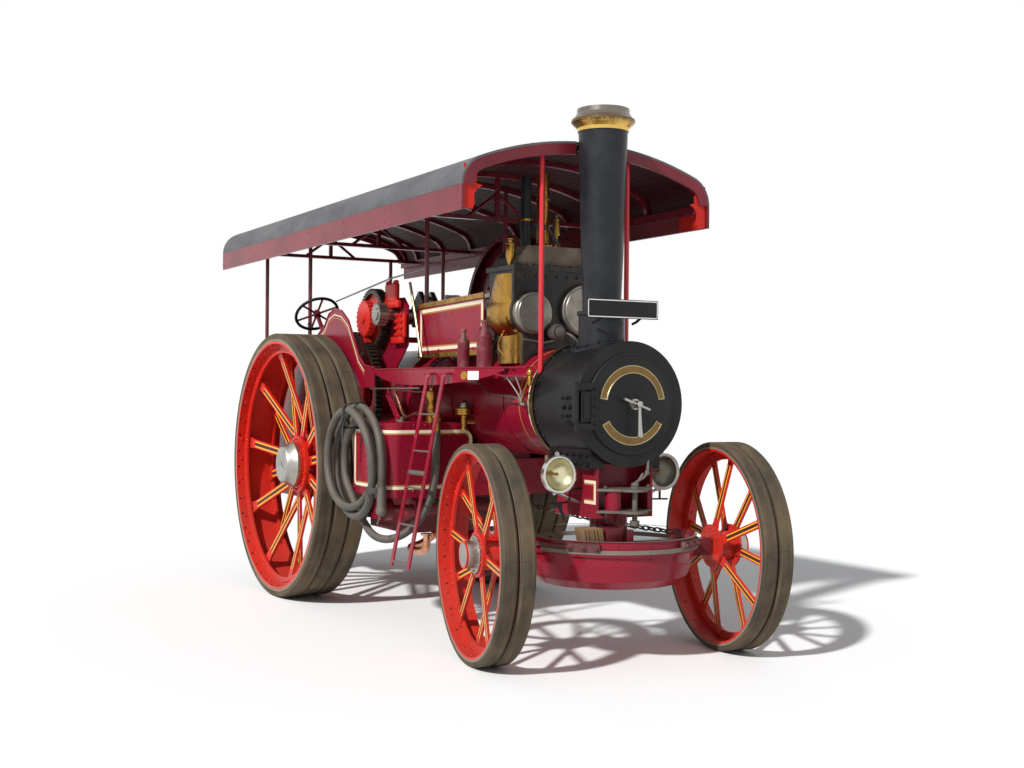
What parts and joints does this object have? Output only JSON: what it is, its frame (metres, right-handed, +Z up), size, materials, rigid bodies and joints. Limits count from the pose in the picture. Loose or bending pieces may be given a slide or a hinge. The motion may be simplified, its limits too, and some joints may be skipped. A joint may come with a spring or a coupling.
{
  "type": "steam traction engine",
  "caption": "Road steam engine with spoked wheels on solid rubber, full-length canopy, tall chimney, belly water tank and a coiled suction hose.",
  "frame": {"origin": "on the ground under the middle of the engine's bounding box", "axes": "+X the way it drives, +Y its left side, +Z up"},
  "size_m": [6.0872, 2.259, 3.5],
  "materials": {
    "crimson_paint": "gloss",
    "maroon_paint": "gloss",
    "vermilion_paint": "gloss",
    "black_iron": "satin",
    "oily_iron": "oily",
    "bright_steel": "polished",
    "lamp_metal": "polished",
    "brass": "polished",
    "copper_cap": "polished",
    "solid_rubber": "dusty",
    "hose_rubber": "dusty",
    "roof_canvas": "matt",
    "painted_wood": "gloss"
  },
  "bodies": {
    "engine": {"boiler_barrel": "crimson_paint", "firebox": "black_iron", "hornplates": "crimson_paint", "smokebox": "black_iron", "chimney": "black_iron", "chimney_cap": "copper_cap", "perch_bracket": "crimson_paint", "towing_fork": "bright_steel", "water_tank": "crimson_paint", "cylinder_block": "oily_iron", "cylinder_cladding": "brass", "steam_column": "brass", "motion_covers": "crimson_paint", "motion_rods": "bright_steel", "gear_train": "oily_iron", "splasher": "crimson_paint", "running_boards": "crimson_paint", "ladder": "maroon_paint", "tender": "crimson_paint", "drawbar": "black_iron", "rear_axle": "oily_iron", "canopy_roof": "roof_canvas", "canopy_boards": "painted_wood", "canopy_frame": "maroon_paint", "canopy_posts": "vermilion_paint", "steering_shaft": "maroon_paint", "steering_chains": "oily_iron", "head_lamps": "lamp_metal", "boiler_fittings": "brass", "hose_union": "brass", "hose_run": "hose_rubber", "hose_coil": "hose_rubber", "hose_strainer": "bright_steel", "hose_hook": "black_iron"},
    "smokebox_door": {"smokebox_door": "black_iron", "door_handle": "bright_steel"},
    "crankshaft": {"crankshaft": "bright_steel", "flywheel": "maroon_paint"},
    "steering_wheel": {"steering_wheel": "maroon_paint"},
    "fore_carriage": {"front_axle": "maroon_paint", "fore_tray": "crimson_paint", "chain_clamps": "oily_iron"},
    "front_right": {"front_wheel_right": "vermilion_paint", "front_tyre_right": "solid_rubber"},
    "front_left": {"front_wheel_left": "vermilion_paint", "front_tyre_left": "solid_rubber"},
    "rear_right": {"rear_wheel_right": "vermilion_paint", "rear_tyre_right": "solid_rubber"},
    "rear_left": {"rear_wheel_left": "vermilion_paint", "rear_tyre_left": "solid_rubber"}
  },
  "joints": [
    {"name": "smokebox_door_hinge", "type": "hinge", "parent": "engine", "child": "smokebox_door", "pos_m": [2.47542, -0.405, 1.609], "axis": [0, 0, -1], "range_deg": [0, 100]},
    {"name": "crankshaft_spin", "type": "hinge", "parent": "engine", "child": "crankshaft", "pos_m": [-0.18658, 0, 2.27], "axis": [0, 1, 0], "continuous": true},
    {"name": "steering", "type": "hinge", "parent": "engine", "child": "fore_carriage", "pos_m": [2.21842, 0, 0.68], "axis": [0, 0, 1], "range_deg": [-8.54, 27.46]},
    {"name": "steering_wheel_spin", "type": "hinge", "parent": "engine", "child": "steering_wheel", "pos_m": [-1.28658, -0.66, 2.32], "axis": [0.6812, 0.0102, -0.732], "range_deg": [-1565.2, 486.8]},
    {"name": "front_right_spin", "type": "hinge", "parent": "fore_carriage", "child": "front_right", "pos_m": [2.07995, -0.83104, 0.68], "axis": [0.1644, 0.9864, 0], "continuous": true},
    {"name": "front_left_spin", "type": "hinge", "parent": "fore_carriage", "child": "front_left", "pos_m": [2.35689, 0.83104, 0.68], "axis": [0.1644, 0.9864, 0], "continuous": true},
    {"name": "rear_right_spin", "type": "hinge", "parent": "engine", "child": "rear_right", "pos_m": [-1.03658, -0.9235, 1.067], "axis": [0, 1, 0], "continuous": true},
    {"name": "rear_left_spin", "type": "hinge", "parent": "engine", "child": "rear_left", "pos_m": [-1.03658, 0.9235, 1.067], "axis": [0, 1, 0], "continuous": true}
  ],
  "couplings": [
    {"joint": "steering_wheel_spin", "follows": "steering", "ratio": -57}
  ]
}
